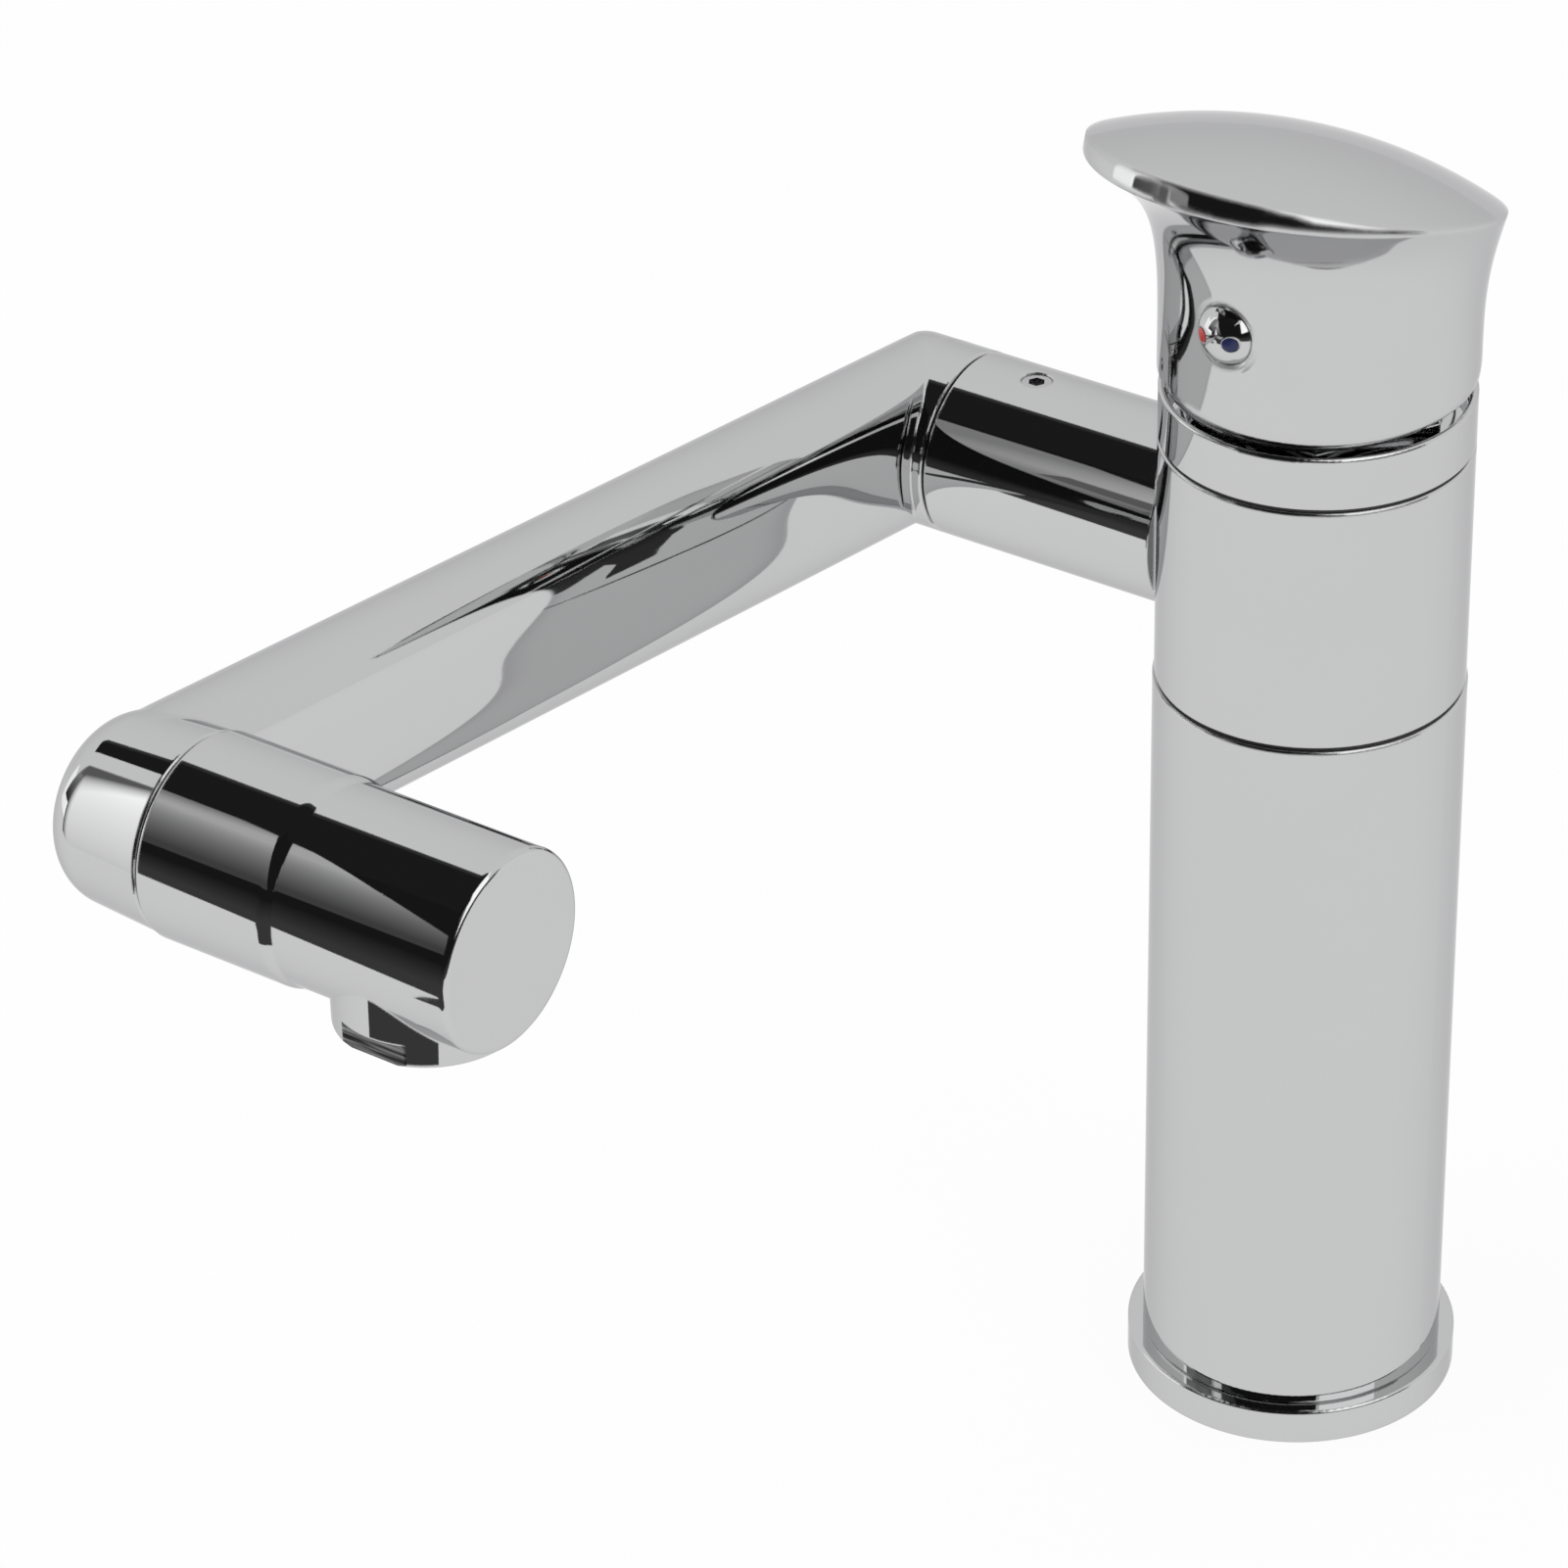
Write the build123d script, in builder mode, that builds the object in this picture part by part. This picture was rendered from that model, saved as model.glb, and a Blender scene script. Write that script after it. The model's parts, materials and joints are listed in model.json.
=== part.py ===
from build123d import *
import os
from math import cos, pi, radians, sin, sqrt, tan

# Single-lever basin mixer with a turning collar, a swinging arm and a turning outlet head.
# All sizes are in millimetres. The origin is on the column's axis, at the deck.
# +Z points up, the stub leaves towards -X and the arm and the lever's front point towards -Y.

# Fits
running_gap = 0.08
press_gap = 0.05
thread_gap = 0.05
seam_gap = 0.05

# Body, which every round piece of the column follows
collar_radius = 25.0
collar_wall = 3.7

# Foot and column
column_radius = collar_radius + 0.25
column_wall = 2.0
column_top = 134.55
flange_step = 2.55
flange_radius = column_radius + flange_step
flange_height = 6.2
flange_edge_round = 0.5
flange_bore = column_radius - 4.05
spigot_height = 3.8
gasket_inner = flange_bore + 2.3
gasket_outer = flange_radius - 1.7
gasket_height = 2.2
inlet_block_height = 14.0

# Hose inlets, supply tubes, fixing stud and tie rod
inlet_spacing = 19.0
inlet_offset = 4.0
inlet_thread_radius = 4.5
inlet_thread_depth = 11.0
supply_tube_radius = 4.0
supply_tube_bore = 3.2
supply_passage_radius = 3.0
socket_depth = 8.0
stud_thread_radius = 3.4
stud_thread_depth = 11.0
tie_rod_radius = 3.0
tie_rod_engagement = 8.0

# Collar, its slide rings and the cap ring
seam_width = 0.55
collar_height = 42.35
collar_edge = 0.25
slide_ring_inset = 0.5
water_groove_height = 14.4
water_groove_depth = 1.4
cap_ring_height = 9.0
cap_ring_web = 4.6
cap_ring_lip = 1.3
cap_ring_chamfer = 0.6
cap_ring_round = 0.45

# Valve body
valve_body_radius = collar_radius - collar_wall
valve_neck_depth = 6.5
valve_flange_height = 2.05
valve_flange_inset = 1.0
valve_body_top_rise = 5.0
outlet_port_radius = 3.5
outlet_port_offset = 9.0
outlet_port_drop = 5.5
seal_section = 1.6
seal_squeeze = 0.03

# Cartridge, from its floor up
cartridge_radius = 17.5
cartridge_wall = 1.4
cartridge_base_flange = 2.0
cartridge_base_height = 5.3
disc_thickness = 3.0
fixed_disc_radius = 16.0
moving_disc_radius = 11.6
carrier_plate = 1.7
carrier_boss = 9.3
carrier_boss_height = 3.6
carrier_cover = 0.6
mixing_pocket_length = 7.0
mixing_pocket_span = 6.0
rotor_slot_width = 9.4
rotor_slot_front = 9.5
rotor_slot_back = 6.5
rotor_radius = 12.9
rotor_flange_radius = cartridge_radius - 1.6
rotor_flange_height = 3.4
rotor_flange_rise = 2.9
rotor_top_rise = 3.0
housing_roof = 2.5
port_radius = 2.8
port_seal_inner = 3.1
port_seal_outer = 4.8
nut_thread_radius = cartridge_radius + 2.05
nut_thread_height = 2.5
nut_bore = 14.2
nut_seat_drop = 1.5
nut_hex_rise = 0.2
nut_across_flats = 38.0
nut_hex_height = 3.0

# Spindle
spindle_square = 8.0
spindle_arm = 12.0
spindle_ball_radius = 2.5
spindle_neck_radius = 1.9
spindle_block_below = 4.0
spindle_height = 24.0
spindle_pin_radius = 1.5
spindle_pin_length = 24.0

# Stub on the collar
stub_radius = 15.45
stub_rise = 21.6
stub_length = 64.35
stub_water_radius = 8.0

# Swivel spigots, the same at both ends of the arm
swivel_gap = 0.35
spigot_radius = 10.95
spigot_bore = 6.5
spigot_length = 23.0
spigot_root_radius = 9.0
spigot_root_length = 8.0
swivel_bore_radius = 11.03
swivel_bore_depth = 24.3
bush_outer = 12.0
bush_inner = 11.0
bush_length = 7.5
bush_flange_radius = 14.6
bush_flange = 0.3
screw_distance = 12.0
screw_groove_width = 3.2
screw_groove_depth = 1.75
screw_radius = 2.45
screw_hole_radius = 2.5
screw_tip_radius = 1.4
screw_tip_length = 1.9
screw_recess = 0.5
screw_hole_chamfer = 0.35
hex_socket_flats = 2.5
hex_socket_depth = 2.5
swivel_seal_places = (17.0, 20.4)
swivel_seal_groove = 2.0
swivel_seal_depth = 1.55
edge_chamfer = 0.3

# Arm
arm_stub_reach = 10.95
arm_offset = stub_length + arm_stub_reach
arm_length = 195.9
arm_rise = 8.0
arm_half_width = 8.6
arm_far_half_height = stub_radius - 0.01
arm_near_half_height = 14.5
arm_across_power = 2.1
arm_upward_power = 3.65
arm_section_points = 32
arm_boss_length = 10.55
arm_wall = 2.6
elbow_radius = 15.15
elbow_end_radius = 14.05
elbow_end_depth = 8.9
elbow_corner_round = 7.5

# Outlet head
head_collar_length = 22.3
head_step_length = 1.3
head_radius = 14.9
head_step_round = 3.0
head_step_fillet = 2.0
head_length = 64.6
head_edge_round = 0.9
head_bore_radius = 10.0
head_end_wall = 4.1
nozzle_radius = 14.0
nozzle_distance = 50.0
nozzle_drop = 15.3
nozzle_edge = 0.5
nozzle_flats = 25.8
nozzle_flat_height = 3.6
aerator_bore = 11.5
aerator_radius = 11.4
aerator_depth = 9.5
aerator_recess = 1.2
aerator_height = 6.0
aerator_rim = 1.5
aerator_seal_height = 1.8
screen_radius = 9.6
screen_thickness = 0.4
screen_count = 3
screen_spacing = 1.5
screen_hole = 1.1
screen_hole_pitch = 1.9

# Lever
lever_turn = -5.0
lever_radius = column_radius
lever_foot_inset = 1.65
lever_foot_radius = lever_radius - lever_foot_inset
lever_foot_height = 3.1
lever_foot_gap = 0.3
lever_foot_slope = 6.5
lever_relief_slope = 21.0
lever_foot_level = 187.0
flare_bottom = 196.0
flare_front_power = 5.5
flare_back_power = 1.8
flare_side_power = 2.7
flare_tilt_power = 2.0
flare_sections = 8
plate_centre = 7.1
plate_height = 226.2
plate_tilt = 19.1
plate_half_length = 35.2
plate_half_width = 31.6
plate_dome = 6.7
plate_edge_round = 0.5
rim_tilt = 12.0
rim_hinge = 6.0
lever_wall = 3.0
lever_cavity_radius = lever_foot_radius - lever_wall
lever_cavity_top = 209.0
lever_cavity_round = 4.0
hub_radius = 8.5
hub_clearance = 7.0
hub_socket_gap = 0.1
tunnel_radius = 5.5
index_height = 205.8
button_radius = 5.0
button_dome = 3.2
button_seat = lever_radius - 0.45
button_stem_radius = 3.9
button_stem_length = 5.5
dot_radius = 1.1
dot_spread = 2.65
dot_depth = 1.0
dot_proud = 0.05
handle_screw_length = 8.0

# Places worked out from the sizes above
collar_bottom = column_top + seam_width
collar_top = collar_bottom + collar_height
cap_ring_bottom = collar_top + seam_width
cap_ring_top = cap_ring_bottom + cap_ring_height
valve_body_top = cap_ring_bottom + valve_body_top_rise
stub_height = collar_bottom + stub_rise
collar_bore = valve_body_radius + running_gap
column_bore = column_radius - column_wall
water_groove_radius = valve_body_radius + water_groove_depth
block_top = flange_height + spigot_height + inlet_block_height
pivot_height = lever_foot_level
ball_height = pivot_height - spindle_arm
carrier_boss_top = ball_height + carrier_cover
carrier_plate_top = carrier_boss_top - carrier_boss_height
carrier_bottom = carrier_plate_top - carrier_plate
fixed_disc_top = carrier_bottom - disc_thickness
fixed_disc_bottom = fixed_disc_top - disc_thickness
cartridge_floor = fixed_disc_bottom - cartridge_base_height
rotor_flange_top = ball_height + rotor_flange_rise
housing_top = rotor_flange_top + seam_gap + housing_roof
housing_inner = cartridge_radius - cartridge_wall
disc_travel_per_radian = spindle_arm

inlet_places = [(-inlet_spacing / 2, -inlet_offset), (inlet_spacing / 2, -inlet_offset)]
port_places = inlet_places + [(0, outlet_port_offset)]

# Column pieces are turned on the XZ plane as (radius, height) outlines.
upright = Plane.XZ

# The stub's swivel: its plane's y axis runs from the arm into the stub.
far_elbow = Vector(-arm_offset, 0, stub_height)
stub_swivel = Plane(origin=far_elbow, x_dir=(0, 0, 1), z_dir=(0, 1, 0))

# The arm's long axis leaves the far elbow and rises a little towards the outlet.
arm_direction = Vector(0, -cos(radians(arm_rise)), sin(radians(arm_rise)))
arm_plane = Plane(origin=far_elbow, x_dir=(1, 0, 0), z_dir=arm_direction)
near_elbow = far_elbow + arm_direction * arm_length
head_swivel = Plane(origin=near_elbow, x_dir=(0, 0, 1), z_dir=(0, 1, 0))
nozzle_centre = near_elbow + Vector(nozzle_distance, 0, 0)

# The lever's own frame, turned about the column as it stands at rest.
lever_frame = Plane.XY.rotated((0, 0, lever_turn))
lever_side = lever_frame.x_dir
lever_front = lever_frame.y_dir * -1
lever_profile = Plane(origin=(0, 0, 0), x_dir=lever_front, z_dir=lever_side * -1)


def outline(points, plane):
    """Closed straight-sided outline, as a sketch on the plane."""
    with BuildSketch(plane) as sketch:
        with BuildLine():
            Polyline(*points, close=True)
        make_face()
    return sketch.sketch


def turn(points, plane=upright, mode=Mode.ADD):
    """Solid of revolution of (radius, height) points about the plane's y axis."""
    revolve(outline(points, plane), axis=Axis(plane.origin, plane.y_dir), mode=mode)


def turn_ring(inner, outer, low, high, plane=upright, mode=Mode.ADD):
    """Square-section ring about the plane's y axis."""
    turn([(inner, low), (outer, low), (outer, high), (inner, high)], plane, mode)


def turn_seal(radius, section, place, plane=upright):
    """Round-section seal ring of the given outer radius."""
    with BuildSketch(plane) as ring_section:
        with Locations((radius - section / 2, place)):
            Circle(section / 2)
    revolve(ring_section.sketch, axis=Axis(plane.origin, plane.y_dir))


def drill(plane, places, radius, low, high):
    """Cut round holes along the plane's normal, from low to high above it."""
    with BuildSketch(plane.offset(low)) as holes:
        with Locations(*places):
            Circle(radius)
    extrude(holes.sketch, amount=high - low, dir=plane.z_dir, mode=Mode.SUBTRACT)


def save(part, name):
    """Label a finished sub-part and write it."""
    part.label = name
    export_step(part, "parts/" + name + ".step")


os.makedirs("parts", exist_ok=True)


# Foot: flange, gasket and inlet block
with BuildPart() as base_flange:
    turn_ring(flange_bore, flange_radius, 0, flange_height)
    turn_ring(flange_bore, column_bore - press_gap, flange_height, flange_height + spigot_height)
    turn_ring(gasket_inner - press_gap, gasket_outer + press_gap, 0, gasket_height, mode=Mode.SUBTRACT)
    top_edge = base_flange.edges().filter_by(GeomType.CIRCLE).filter_by(
        lambda edge: abs(edge.radius - flange_radius) < 0.01 and edge.center().Z > 1
    )
    fillet(top_edge, flange_edge_round)

with BuildPart() as base_gasket:
    turn_ring(gasket_inner, gasket_outer, 0, gasket_height)

block_shoulder = flange_height + spigot_height
with BuildPart() as inlet_block:
    turn_ring(0, flange_bore - press_gap, 0, block_shoulder)
    turn_ring(0, column_bore - press_gap, block_shoulder, block_top)
    tube_seat = block_top - socket_depth
    drill(Plane.XY, inlet_places, inlet_thread_radius, 0, inlet_thread_depth)
    drill(Plane.XY, inlet_places, supply_passage_radius, inlet_thread_depth, tube_seat)
    drill(Plane.XY, inlet_places, supply_tube_radius + press_gap, tube_seat, block_top)
    drill(Plane.XY, [(0, 0)], stud_thread_radius, 0, stud_thread_depth)
    drill(Plane.XY, [(0, 0)], tie_rod_radius + thread_gap, block_top - tie_rod_engagement, block_top)

valve_body_bottom = column_top - valve_flange_height - valve_neck_depth
tubes = {}
for tube_name, tube_place in zip(("hot_supply_tube", "cold_supply_tube"), inlet_places):
    with BuildPart() as supply_tube:
        with BuildSketch(Plane.XY.offset(block_top - socket_depth)):
            with Locations(tube_place):
                Circle(supply_tube_radius)
                Circle(supply_tube_bore, mode=Mode.SUBTRACT)
        extrude(amount=valve_body_bottom + 2 * socket_depth - block_top)
    tubes[tube_name] = supply_tube

with BuildPart() as tie_rod:
    turn_ring(
        0, tie_rod_radius, block_top - tie_rod_engagement, valve_body_bottom + tie_rod_engagement
    )
    chamfer(tie_rod.edges().filter_by(GeomType.CIRCLE), 0.6)


# Column shell, with a counterbore at its top for the valve body's flange
valve_flange_radius = column_radius - valve_flange_inset
with BuildPart() as column_shell:
    turn_ring(column_bore, column_radius, flange_height, column_top)
    turn_ring(
        column_bore - 1, valve_flange_radius + press_gap, column_top - valve_flange_height, column_top + 1,
        mode=Mode.SUBTRACT,
    )
    rim = column_shell.edges().filter_by(GeomType.CIRCLE).filter_by(
        lambda edge: abs(edge.radius - column_radius) < 0.01
    )
    chamfer(rim, collar_edge)


# Valve body
upper_seal_place = collar_bottom + collar_height * 0.83
lower_seal_place = collar_bottom + collar_height * 0.17
seal_groove = 2.2
seal_outer = collar_bore - seal_squeeze
with BuildPart() as valve_body:
    turn([
        (0, valve_body_bottom),
        (column_bore - press_gap, valve_body_bottom),
        (column_bore - press_gap, column_top - valve_flange_height),
        (valve_flange_radius, column_top - valve_flange_height),
        (valve_flange_radius, column_top),
        (valve_body_radius, column_top),
        (valve_body_radius, valve_body_top),
        (0, valve_body_top),
    ])
    nut_seat = housing_top - nut_seat_drop
    turn_ring(0, cartridge_radius + press_gap, cartridge_floor, valve_body_top + 1, mode=Mode.SUBTRACT)
    turn_ring(0, nut_thread_radius + thread_gap, nut_seat, valve_body_top + 1, mode=Mode.SUBTRACT)
    for seal_place in (lower_seal_place, upper_seal_place):
        turn_ring(
            seal_outer - seal_section - press_gap, valve_body_radius + 1,
            seal_place - seal_groove / 2, seal_place + seal_groove / 2, mode=Mode.SUBTRACT,
        )
    tube_stop = valve_body_bottom + socket_depth
    drill(Plane.XY, inlet_places, supply_tube_radius + press_gap, valve_body_bottom, tube_stop)
    drill(Plane.XY, inlet_places, supply_passage_radius, tube_stop, cartridge_floor)
    drill(Plane.XY, [(0, 0)], tie_rod_radius + thread_gap, valve_body_bottom, tube_stop)
    outlet_level = cartridge_floor - outlet_port_drop
    drill(Plane.XY, [(0, outlet_port_offset)], outlet_port_radius, outlet_level, cartridge_floor)
    outlet_plane = Plane(origin=(0, 0, outlet_level), x_dir=(1, 0, 0), z_dir=(0, 1, 0))
    drill(outlet_plane, [(0, 0)], outlet_port_radius, outlet_port_offset, valve_body_radius + 1)

with BuildPart() as collar_seals:
    for seal_place in (lower_seal_place, upper_seal_place):
        turn_seal(seal_outer, seal_section, seal_place)

slide_ring_outer = collar_radius - slide_ring_inset
with BuildPart() as lower_slide_ring:
    turn_ring(valve_body_radius + press_gap, slide_ring_outer, column_top, collar_bottom - seam_gap)

with BuildPart() as upper_slide_ring:
    turn_ring(valve_body_radius + press_gap, slide_ring_outer, collar_top + seam_gap, cap_ring_bottom)

with BuildPart() as cap_ring:
    web_top = cap_ring_bottom + cap_ring_web
    lip_inner = collar_radius - cap_ring_lip
    turn([
        (valve_body_radius + thread_gap, cap_ring_bottom),
        (collar_radius - collar_edge, cap_ring_bottom),
        (collar_radius, cap_ring_bottom + collar_edge),
        (collar_radius, cap_ring_top),
        (lip_inner + cap_ring_chamfer, cap_ring_top),
        (lip_inner, cap_ring_top - cap_ring_chamfer),
        (lip_inner, web_top),
        (valve_body_radius + thread_gap, web_top),
    ])
    top_rim = cap_ring.edges().filter_by(GeomType.CIRCLE).filter_by(
        lambda edge: abs(edge.radius - collar_radius) < 0.01 and edge.center().Z > web_top
    )
    fillet(top_rim, cap_ring_round)


# Cartridge
with BuildPart() as cartridge_base:
    turn_ring(0, cartridge_radius, cartridge_floor, cartridge_floor + cartridge_base_flange)
    turn_ring(0, housing_inner - press_gap, cartridge_floor, fixed_disc_bottom)
    drill(Plane.XY, port_places, port_radius, cartridge_floor, fixed_disc_bottom)
    drill(
        Plane.XY, port_places, port_seal_outer + press_gap, cartridge_floor, cartridge_floor + seal_section
    )

with BuildPart() as cartridge_port_seals:
    with BuildSketch(Plane.XY.offset(cartridge_floor)):
        with Locations(*port_places):
            Circle(port_seal_outer)
            Circle(port_seal_inner, mode=Mode.SUBTRACT)
    extrude(amount=seal_section)

with BuildPart() as fixed_disc:
    turn_ring(0, fixed_disc_radius, fixed_disc_bottom, fixed_disc_top)
    drill(Plane.XY, port_places, port_radius, fixed_disc_bottom, fixed_disc_top)

with BuildPart() as moving_disc:
    turn_ring(0, moving_disc_radius, fixed_disc_top, carrier_bottom)
    with BuildSketch(lever_frame.offset(fixed_disc_top)) as mixing_pocket:
        with Locations((0, outlet_port_offset / 2)):
            SlotCenterToCenter(mixing_pocket_span, mixing_pocket_length)
    extrude(mixing_pocket.sketch, amount=disc_thickness * 0.6, mode=Mode.SUBTRACT)

with BuildPart() as disc_carrier:
    turn_ring(0, moving_disc_radius, carrier_bottom, carrier_plate_top)
    with BuildSketch(lever_frame.offset(carrier_plate_top)):
        Rectangle(carrier_boss, carrier_boss)
    extrude(amount=carrier_boss_height)
    with BuildSketch(lever_frame.offset(carrier_plate_top - 0.6)) as ball_pocket:
        Rectangle(2 * spindle_ball_radius + 0.4, 2 * (spindle_ball_radius + running_gap))
    extrude(ball_pocket.sketch, amount=carrier_boss_height + 1, mode=Mode.SUBTRACT)

with BuildPart() as cartridge_housing:
    turn([
        (housing_inner, cartridge_floor + cartridge_base_flange),
        (cartridge_radius, cartridge_floor + cartridge_base_flange),
        (cartridge_radius, housing_top),
        (rotor_radius + running_gap, housing_top),
        (rotor_radius + running_gap, rotor_flange_top + seam_gap),
        (housing_inner, rotor_flange_top + seam_gap),
    ])

with BuildPart() as spindle_rotor:
    turn_ring(0, rotor_flange_radius, rotor_flange_top - rotor_flange_height, rotor_flange_top)
    turn_ring(0, rotor_radius, rotor_flange_top, pivot_height + rotor_top_rise)
    slot_length = rotor_slot_front + rotor_slot_back
    with BuildSketch(lever_frame.offset(rotor_flange_top - rotor_flange_height)) as rotor_slot:
        with Locations((0, rotor_slot_back - slot_length / 2)):
            Rectangle(rotor_slot_width, slot_length)
    extrude(rotor_slot.sketch, amount=pivot_height, mode=Mode.SUBTRACT)
    pin_plane = Plane(origin=(0, 0, pivot_height), x_dir=lever_front, z_dir=lever_side)
    drill(pin_plane, [(0, 0)], spindle_pin_radius + 0.01, -cartridge_radius, cartridge_radius)

with BuildPart() as spindle_pin:
    with BuildSketch(pin_plane):
        Circle(spindle_pin_radius)
    extrude(amount=spindle_pin_length / 2, both=True)

with BuildPart() as spindle:
    with BuildSketch(lever_frame.offset(pivot_height - spindle_block_below)):
        Rectangle(spindle_square, spindle_square)
    extrude(amount=spindle_block_below + spindle_height)
    chamfer(spindle.faces().sort_by(Axis.Z)[-1].edges(), 0.5)
    turn_ring(0, spindle_neck_radius, ball_height, pivot_height - spindle_block_below)
    with Locations((0, 0, ball_height)):
        Sphere(spindle_ball_radius)
    drill(pin_plane, [(0, 0)], spindle_pin_radius + running_gap, -spindle_square, spindle_square)

with BuildPart() as cartridge_nut:
    nut_hex_bottom = valve_body_top + nut_hex_rise
    turn_ring(nut_bore, nut_thread_radius, housing_top, nut_hex_bottom)
    with BuildSketch(Plane.XY.offset(nut_hex_bottom)):
        RegularPolygon(nut_across_flats / 2, 6, major_radius=False)
        Circle(nut_bore, mode=Mode.SUBTRACT)
    extrude(amount=nut_hex_height)


# Collar with its side stub
stub_end = -stub_length
with BuildPart() as spout_collar:
    turn([
        (0, collar_bottom),
        (collar_radius - collar_edge, collar_bottom),
        (collar_radius, collar_bottom + collar_edge),
        (collar_radius, collar_top - collar_edge),
        (collar_radius - collar_edge, collar_top),
        (0, collar_top),
    ])
    stub_start = arm_offset - collar_bore
    stub_face = arm_offset - stub_length
    turn([
        (0, stub_face),
        (stub_radius - edge_chamfer, stub_face),
        (stub_radius, stub_face + edge_chamfer),
        (stub_radius, stub_start),
        (0, stub_start),
    ], stub_swivel)
    turn_ring(0, collar_bore, collar_bottom, collar_top, mode=Mode.SUBTRACT)
    turn_ring(
        0, water_groove_radius, stub_height - water_groove_height / 2, stub_height + water_groove_height / 2,
        mode=Mode.SUBTRACT,
    )
    bore_end = stub_face + swivel_bore_depth
    turn_ring(0, stub_water_radius, stub_face, arm_offset, stub_swivel, Mode.SUBTRACT)
    turn_ring(0, swivel_bore_radius, stub_face, bore_end, stub_swivel, Mode.SUBTRACT)
    turn_ring(0, bush_outer + press_gap, stub_face, stub_face + bush_length, stub_swivel, Mode.SUBTRACT)


def swivel_screw_plane(swivel, face, upwards):
    """Plane on the swivel's axis whose normal is the set screw's axis."""
    place = swivel.origin + swivel.y_dir * (face + screw_distance)
    return Plane(origin=place, x_dir=swivel.y_dir, z_dir=(0, 0, 1 if upwards else -1))


def drill_screw_hole(screw_plane, outer_radius):
    """Set screw's hole, with its small countersink."""
    drill(screw_plane, [(0, 0)], screw_hole_radius, swivel_bore_radius - 2, outer_radius + 1)
    with BuildSketch(screw_plane.offset(outer_radius - screw_hole_chamfer)) as mouth:
        Circle(screw_hole_radius)
    extrude(mouth.sketch, amount=2 * screw_hole_chamfer, taper=-45, mode=Mode.SUBTRACT)


def set_screw(screw_plane, outer_radius):
    """Hexagon socket grub screw that stands in the spigot's groove."""
    tip = spigot_radius - screw_groove_depth + 0.2
    head = outer_radius - screw_recess
    with BuildSketch(screw_plane.offset(tip)) as tip_circle:
        Circle(screw_tip_radius)
    extrude(tip_circle.sketch, amount=screw_tip_length)
    with BuildSketch(screw_plane.offset(tip + screw_tip_length)) as thread_circle:
        Circle(screw_radius)
    extrude(thread_circle.sketch, amount=head - tip - screw_tip_length)
    with BuildSketch(screw_plane.offset(head - hex_socket_depth)) as socket:
        RegularPolygon(hex_socket_flats / 2, 6, major_radius=False)
    extrude(socket.sketch, amount=hex_socket_depth + 1, mode=Mode.SUBTRACT)


def swivel_bush(swivel, face):
    """Flanged plastic bush between a spigot and its housing."""
    turn_ring(bush_inner, bush_outer, face - bush_flange, face + bush_length - 0.3, swivel)
    turn_ring(bush_inner, bush_flange_radius, face - bush_flange, face, swivel)


def swivel_spigot(swivel, face):
    """Hollow brass spigot that is screwed into the arm and turns in its housing."""
    root_end = face - swivel_gap
    turn([
        (spigot_bore, root_end - spigot_root_length),
        (spigot_root_radius, root_end - spigot_root_length),
        (spigot_root_radius, root_end),
        (spigot_radius, root_end),
        (spigot_radius, face + spigot_length - 0.6),
        (spigot_radius - 0.6, face + spigot_length),
        (spigot_bore, face + spigot_length),
    ], swivel)
    turn_ring(
        spigot_radius - screw_groove_depth, spigot_radius + 1,
        face + screw_distance - screw_groove_width / 2, face + screw_distance + screw_groove_width / 2,
        swivel, Mode.SUBTRACT,
    )
    for place in swivel_seal_places:
        turn_ring(
            spigot_radius - swivel_seal_depth, spigot_radius + 1,
            face + place - swivel_seal_groove / 2, face + place + swivel_seal_groove / 2,
            swivel, Mode.SUBTRACT,
        )


stub_screw_plane = swivel_screw_plane(stub_swivel, stub_face, True)
with spout_collar:
    drill_screw_hole(stub_screw_plane, stub_radius)

with BuildPart() as stub_set_screw:
    set_screw(stub_screw_plane, stub_radius)

with BuildPart() as stub_bush:
    swivel_bush(stub_swivel, stub_face)

with BuildPart() as arm_spigot:
    swivel_spigot(stub_swivel, stub_face)

with BuildPart() as arm_spigot_seals:
    for seal_distance in swivel_seal_places:
        turn_seal(swivel_bore_radius - seal_squeeze, 1.5, stub_face + seal_distance, stub_swivel)


# Arm: a flattened tube with a round boss at each end
head_face = arm_boss_length + swivel_gap
arm_end_plane = arm_plane.offset(arm_length)
far_boss_face = stub_face - swivel_gap


def arm_section(plane, half_height, inset):
    """Section of the arm: an oval with flattened sides, on the plane across its length."""
    points = []
    for index in range(arm_section_points):
        turned = 2 * pi * (index + 0.5) / arm_section_points
        across = (arm_half_width - inset) * abs(cos(turned)) ** (2 / arm_across_power)
        upward = (half_height - inset) * abs(sin(turned)) ** (2 / arm_upward_power)
        points.append((across if cos(turned) > 0 else -across, upward if sin(turned) > 0 else -upward))
    with BuildSketch(plane) as section:
        with BuildLine():
            Spline(*points, periodic=True)
        make_face()
    return section.sketch


with BuildPart() as far_corner:
    far_section = arm_section(arm_plane, arm_far_half_height, 0)
    extrude(far_section, amount=-2 * stub_radius)
    turn_ring(0, stub_radius, -arm_half_width - 1, 0, stub_swivel, Mode.INTERSECT)

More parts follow.
